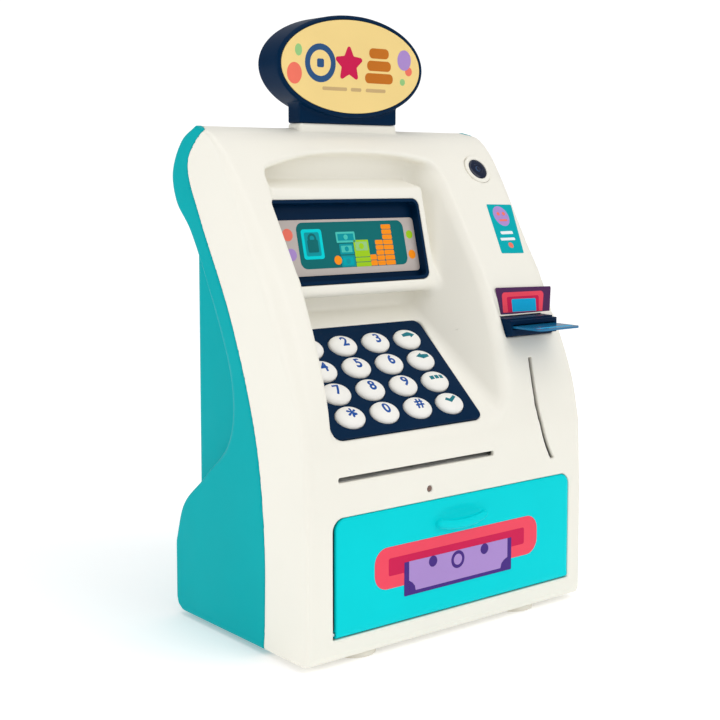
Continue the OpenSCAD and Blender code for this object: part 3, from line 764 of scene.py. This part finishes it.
def flat_print(mark):
    """A printed mark as a fine flat mesh, from a character or from outlines."""
    mesh = bmesh.new()
    if isinstance(mark, str):
        letter = bpy.data.curves.new("mark", "FONT")
        letter.body = mark
        letter.size = 12.0 if mark == "*" else 8.0
        letter.offset = 0.22
        letter.resolution_u = 4
        holder = bpy.data.objects.new("mark", letter)
        flat = bpy.data.meshes.new_from_object(holder)
        mesh.from_mesh(flat)
        bpy.data.objects.remove(holder)
        bpy.data.curves.remove(letter)
        bpy.data.meshes.remove(flat)
    else:
        for outline in mark:
            mesh.faces.new([mesh.verts.new((u, v, 0)) for u, v in outline])
    bmesh.ops.triangulate(mesh, faces=mesh.faces)
    for _ in range(2):
        long_edges = [e for e in mesh.edges if e.calc_length() > 0.7]
        bmesh.ops.subdivide_edges(mesh, edges=long_edges, cuts=1)
        bmesh.ops.triangulate(mesh, faces=mesh.faces)
    return mesh


def key_print(name, mark, plane, ink):
    """The printed mark of a key, bent over its rounded top."""
    mesh = flat_print(mark)
    p = np.array([v.co for v in mesh.verts])
    p[:, :2] -= (p[:, :2].min(0) + p[:, :2].max(0)) / 2
    p[:, 1] += 0.9
    p[:, 2] = [dome(u, v) + 0.04 for u, v in p[:, :2]]
    mesh.verts.index_update()
    faces = [[v.index for v in f.verts] for f in mesh.faces]
    borders = [[v.index for v in e.verts] for e in mesh.edges if e.is_boundary]
    mesh.free()
    count = len(p)
    under = p - (0, 0, 0.1)
    walls = [[a, b, b + count, a + count] for a, b in borders]
    lower = [[i + count for i in f[::-1]] for f in faces]
    return mesh_piece(name, plane.place(np.vstack([p, under])), faces + lower + walls, [ink])


skirt = [(9.3, 6.9, -3.5), (9.3, 6.9, -2.5), (KEY_A, KEY_B, -2.5), (KEY_A, KEY_B, 0.3)]
angles = [math.radians(a) for a in (8, 16, 25, 35, 45, 55, 65, 75, 83, 87)]
domed = [(KEY_A * math.cos(t), KEY_B * math.cos(t), dome(KEY_A * math.cos(t), 0)) for t in angles]
for row_number, names in enumerate(KEY_ROWS):
    for column, name in enumerate(names):
        u = KEY_SHIFT[0] + (column - 1.5) * KEY_PITCH[0]
        v = KEY_SHIFT[1] + (1.5 - row_number) * KEY_PITCH[1]
        spot = Plane(KEYPAD.place((u, v, 0)), KEYPAD_TILT)
        settle(lathe_piece(name + "_cap", skirt + domed, spot, [FINISHES["key_ivory"]], steps=56), name)
        mark = MARKS.get(name, name[-1])
        ink = TEAL_INK if name.startswith("key_fn") else INK
        finish_piece(key_print(name + "_print", mark, spot, ink), name)


# ---------- camera, card and light ----------
camera_spot = slope_plane(CAMERA_X, CAMERA_Z)
ring = [(8.5, -2.2), (8.5, 0.0), (8.2, 0.3), (7.2, 0.4), (6.4, 0.2), (6.1, -0.1), (6.1, -0.89)]
settle(
    lathe_piece("camera_rim", [(r, r, h) for r, h in ring], camera_spot, [IVORY]),
    "camera_ring",
)
# The thin blue ring near the lens's middle (kinds 1) is a painted glint: a highlight painted onto the navy
# glass, not a part.
lens = [(6, -0.88), (6, -0.2), (5.6, 0.05), (4.2, 0.2), (3.0, 0.26), (2.8, 0.1), (1.6, 0.1)]
lens += [(1.4, 0.26), (0.5, 0.32)]
settle(
    lathe_piece(
        "camera_glass",
        [(r, r, h) for r, h in lens],
        camera_spot,
        [FINISHES["lens_navy"], BLUE_INK_AND_GLINT],
        kinds=[0, 0, 0, 0, 0, 0, 1, 0, 0],
    ),
    "camera_lens",
)
led = [(1.9, -3.8), (1.9, -2.7), (1.5, -2.7), (1.5, -0.8), (1.2, -0.35), (0.6, -0.1)]
led_spot = Plane((-16.8, 0, 75), 90)
settle(
    lathe_piece("status_light", [(r, r, h) for r, h in led], led_spot, [FINISHES["led_red"]], steps=32),
    "status_led",
)
card_shape = filleted([(48.2, -9.3, 3), (78.2, -9.3, 3), (78.2, 36, 1), (48.2, 36, 1)])
card_layers = [
    (card_shape, FINISHES["card_blue"], 0),
    # The lighter sky band across the card's tip is a painted sheen: light on the glossy card painted into
    # its top.
    (box_outline(51, -6.5, 75.5, -3.4, 0.6), SKY_INK_AND_SHEEN, 1),
]
settle(print_piece("card_plate", Plane((0, 0, 146.7), 0), card_layers, base=1.0), "bank_card")


# ---------- printed labels ----------
def ring_outline(u, v, r, inner, steps=36):
    """A ring as two shapes: the disc and the smaller disc printed over it."""
    return disc_outline(u, v, r, steps=steps), disc_outline(u, v, inner, steps=steps)


def star_outline(u, v, r, inner):
    corners = []
    for k in range(10):
        t = math.radians(90 + 36 * k)
        size, rounding = (r, 1.2) if k % 2 == 0 else (inner, 0.8)
        corners.append((u + size * math.cos(t), v + size * math.sin(t), rounding))
    return filleted(corners, 4)


door_ring, door_hole = ring_outline(1.5, 37.3, 4.4, 2.7)
door_layers = [
    (box_outline(-51, 31, 56.9, 51, 7.5), PINK, 0),
    (box_outline(-42.6, 37, 47.5, 45.5, 1), CRIMSON, 1),
    (filleted([(-33, 25.4, 0.5), (38.4, 25.4, 0.5), (38.4, 41.9, 0.1), (-33, 41.9, 0.1)]), PLUM, 2),
    (box_outline(-30, 27.3, 35.6, 41.9), LILAC, 3),
    ([(-30, 27.3), (-25.9, 27.3), (-26.4, 29.6), (-28, 31.4), (-30, 32.6)], PLUM, 4),
    ([(35.6, 27.3), (35.6, 32.2), (33.2, 31.2), (31.4, 29.6), (30.8, 27.3)], PLUM, 4),
    (disc_outline(-14.8, 39.3, 2.7), PLUM, 4),
    (disc_outline(19.5, 39.3, 2.7), PLUM, 4),
    (door_ring, PLUM, 4),
    (door_hole, LILAC, 5),
]
settle(print_piece("door_sticker", DOOR_FACE, door_layers), "door_label")

coin, coin_hole = ring_outline(-21.2, 1, 9.8, 6.6)
sign_layers = [
    (disc_outline(0, 0, 45.6, 23.9, 96), FINISHES["sign_print"], 0),
    (coin, BLUE_INK_AND_GLINT, 1),
    (coin_hole, FINISHES["sign_print"], 2),
    (box_outline(-23.4, -1.2, -19, 3.2, 1), BLUE_INK_AND_GLINT, 3),
    (star_outline(-2.6, 1.2, 10.8, 5.2), CRIMSON, 1),
    (box_outline(8, -7.9, 27, -2.6, 2.5), ORANGE, 1),
    (box_outline(9.4, -1.4, 25.6, 3.9, 2.5), ORANGE, 1),
    (box_outline(10.8, 5.1, 24.2, 10.4, 2.5), ORANGE, 1),
    (box_outline(-20, -12.6, -4, -10.8, 0.8), SAND, 1),
    (box_outline(-1.5, -12.6, 5.5, -10.8, 0.8), SAND, 1),
    (box_outline(8.5, -12.6, 22, -10.8, 0.8), SAND, 1),
    (disc_outline(-37.6, -4.8, 4.6, 5.4), CORAL, 1),
    (disc_outline(-35, 6.9, 2.2, 3), LEAF, 1),
    (disc_outline(38, -0.6, 2.4), CORAL, 1),
    (disc_outline(34.9, 5.2, 4.7, 5.4), LILAC, 2),
    (disc_outline(33.7, -6.4, 1.8), LEAF, 1),
]
settle(print_piece("sign_sticker", SIGN_FACE, sign_layers, base=0.7, floor=-0.7), "sign_panel")


def coin_stack(u0, u1, low, top, pitch=2.6):
    """Coins piled in a printed column, each parted from the next by a thin gap."""
    count = max(1, round((top - low) / pitch))
    step = (top - low) / count
    rims = [low + k * step for k in range(count)]
    return [(box_outline(u0, v, u1, v + step - 0.3, 0.6), BRIGHT, 2) for v in rims]


def note_shape(u0, v0, u1, v1, edge, middle):
    inner = box_outline(u0 + 1, v0 + 1, u1 - 1, v1 - 1, 0.3)
    hub = disc_outline((u0 + u1) / 2, (v0 + v1) / 2, min(u1 - u0, v1 - v0) * 0.24)
    return [(box_outline(u0, v0, u1, v1, 0.5), edge, 2), (inner, middle, 3), (hub, edge, 4)]


def moved(layers, shift):
    """Printed layers shifted sideways."""
    return [([(u + shift, v) for u, v in outline], material, layer) for outline, material, layer in layers]


picture_layers = [
    (box_outline(-27.5, -12.6, 41, 10.7, 4), DEEP, 1),
    (disc_outline(-33, 4.8, 3.1), CORAL, 1),
    (disc_outline(-32.3, -5.1, 3.1), LILAC, 1),
    (disc_outline(44.6, 3, 2.2), LIME, 1),
    (disc_outline(44.4, -7.5, 2.4), BRIGHT, 1),
    (box_outline(-24.9, -7.8, -12.4, 7.3, 1.5), CYAN, 2),
    (box_outline(-23.2, -6.2, -14.1, 5.7, 1), AQUA, 3),
    (disc_outline(-18.7, 2.6, 2.6), DEEP, 4),
    (disc_outline(-18.7, 2.6, 1.4), AQUA, 5),
    (box_outline(-21.8, -4.4, -15.4, 2, 0.8), DEEP, 6),
    (disc_outline(-4.5, -8.8, 2.3), BRIGHT, 5),
]
picture_layers += note_shape(-3.7, 0, 8.4, 5.5, MINT, AQUA)
picture_layers += note_shape(-2.4, -6, 6.4, -0.6, AQUA, MINT)
picture_layers += note_shape(-2.4, -12.4, 6.4, -6.6, AQUA, FINISHES["teal_print"])
picture_layers += note_shape(6.8, -5.4, 16.4, 1.1, LIME, LEAF)
picture_layers += [(box_outline(6.8, v, 16.4, v + 2.2, 0.4), LIME, 2) for v in (-12.6, -10.1, -7.6)]
picture_layers += coin_stack(16.4, 20.6, -12.4, -6.4)
picture_layers += coin_stack(20.9, 25.9, -12.4, 1)
picture_layers += coin_stack(26.2, 32.5, -12.4, 9)
screen_layers = [(box_outline(-46.6, -16, 46.6, 12, 2), FINISHES["screen_print"], 0)]
screen_layers += moved(picture_layers, -1.8)
screen_floor = Plane(SCREEN.place((0, 0, -4.98)), 90 - SCREEN_LEAN)
settle(print_piece("screen_sticker", screen_floor, screen_layers, base=0.5), "screen_card")

face_card = filleted([(-12.1, -14.8, 0.8), (4.2, -15.3, 0.8), (10.1, 14.8, 0.8), (-8.3, 15.3, 0.8)])
face_layers = [
    (face_card, FINISHES["teal_print"], 0),
    (disc_outline(-1, 7.8, 5.4, 6.2), LILAC, 1),
    (disc_outline(-2.6, 9.2, 1.1), CORAL, 2),
    (disc_outline(1.4, 9.2, 1.1), CORAL, 2),
    (box_outline(-3.6, 4.6, 2.2, 5.8, 0.5), CORAL, 2),
    (box_outline(-6.6, -3.4, 2.4, -1.6, 0.6), WHITE, 1),
    (box_outline(-8.6, -7.2, 2.1, -5.6, 0.6), WHITE, 1),
    (disc_outline(-2.9, -10.2, 1.7), CORAL, 1),
]
settle(print_piece("face_sticker", slope_plane(75.3, 196), face_layers), "face_label")

card_back = filleted([(-16.1, -7, 0.8), (20.3, -7.9, 0.8), (23.2, 5.9, 0.8), (-18.3, 7.1, 0.8)])
card_label_layers = [
    (card_back, FINISHES["card_print"], 0),
    (filleted([(-14.2, -6.1, 0.4), (14.9, -6.8, 0.4), (17.4, 3.8, 2), (-14, 4.4, 2)]), PINK, 1),
    (filleted([(-10.6, -6.1, 0.2), (12.2, -6.6, 0.2), (13.2, 1.6, 1), (-10.6, 1.9, 1)]), CRIMSON, 2),
    (filleted([(-7.4, -6.1, 0.2), (10.3, -6.5, 0.2), (10.6, 0.2, 0.8), (-7.4, 0.6, 0.8)]), SKY_INK_AND_SHEEN, 3),
]
settle(print_piece("card_sticker", CARD_FACE, card_label_layers), "card_label")

# ---------- camera, floor and light ----------
cam_data = bpy.data.cameras.new("camera")
cam_data.lens = 66.1
cam_data.sensor_width = 36
cam_data.shift_y = -0.085
camera = bpy.data.objects.new("camera", cam_data)
camera.location = (-0.4322, -0.5158, 0.2229)
camera.rotation_euler = (math.radians(90 - 5.205), 0, math.radians(-38.774))
bpy.context.scene.collection.objects.link(camera)
bpy.context.scene.camera = camera


def area_light(name, place, target, size, power):
    light = bpy.data.lights.new(name, "AREA")
    light.shape = "DISK"
    light.size = size
    light.energy = power
    lamp = bpy.data.objects.new(name, light)
    lamp.location = place
    lamp.rotation_euler = (Vector(target) - Vector(place)).to_track_quat("-Z", "Y").to_euler()
    bpy.context.scene.collection.objects.link(lamp)


def sun_light(name, direction, strength, spread):
    light = bpy.data.lights.new(name, "SUN")
    light.energy = strength
    light.angle = math.radians(spread)
    lamp = bpy.data.objects.new(name, light)
    lamp.rotation_euler = Vector(direction).to_track_quat("-Z", "Y").to_euler()
    bpy.context.scene.collection.objects.link(lamp)


sun_light("key_sun", (-0.34, 0.74, -0.58), 0.74, 40)
area_light("side_box", (-1.35, 0.1, 0.45), (0, 0, 0.15), 0.9, 4.2)
sun_light("top_sun", (-0.05, 0.1, -1), 0.95, 60)
world = bpy.data.worlds.new("studio")
world.use_nodes = True
sky = world.node_tree.nodes["Background"]
sky.inputs["Color"].default_value = (1, 1, 1, 1)
rays = world.node_tree.nodes.new("ShaderNodeLightPath")
glow = world.node_tree.nodes.new("ShaderNodeMapRange")
glow.inputs["To Min"].default_value = 0.48
glow.inputs["To Max"].default_value = 1.1
world.node_tree.links.new(rays.outputs["Is Camera Ray"], glow.inputs["Value"])
world.node_tree.links.new(glow.outputs["Result"], sky.inputs["Strength"])
bpy.context.scene.world = world
bpy.context.scene.view_settings.view_transform = "Standard"

floor_mesh = bpy.data.meshes.new("floor")
floor_mesh.from_pydata([(-6, -6, 0), (6, -6, 0), (6, 6, 0), (-6, 6, 0)], [], [(0, 1, 2, 3)])
floor = bpy.data.objects.new("floor", floor_mesh)
bpy.context.scene.collection.objects.link(floor)
floor_paint = plastic("floor_paint", srgb(252, 252, 252), 0.7, 0.05, 0.02, 0.003, shine=0.1)
floor_paint.node_tree.nodes["Principled BSDF"].inputs["Emission Color"].default_value = (1, 1, 1, 1)
floor_paint.node_tree.nodes["Principled BSDF"].inputs["Emission Strength"].default_value = 0.22
floor_mesh.materials.append(floor_paint)
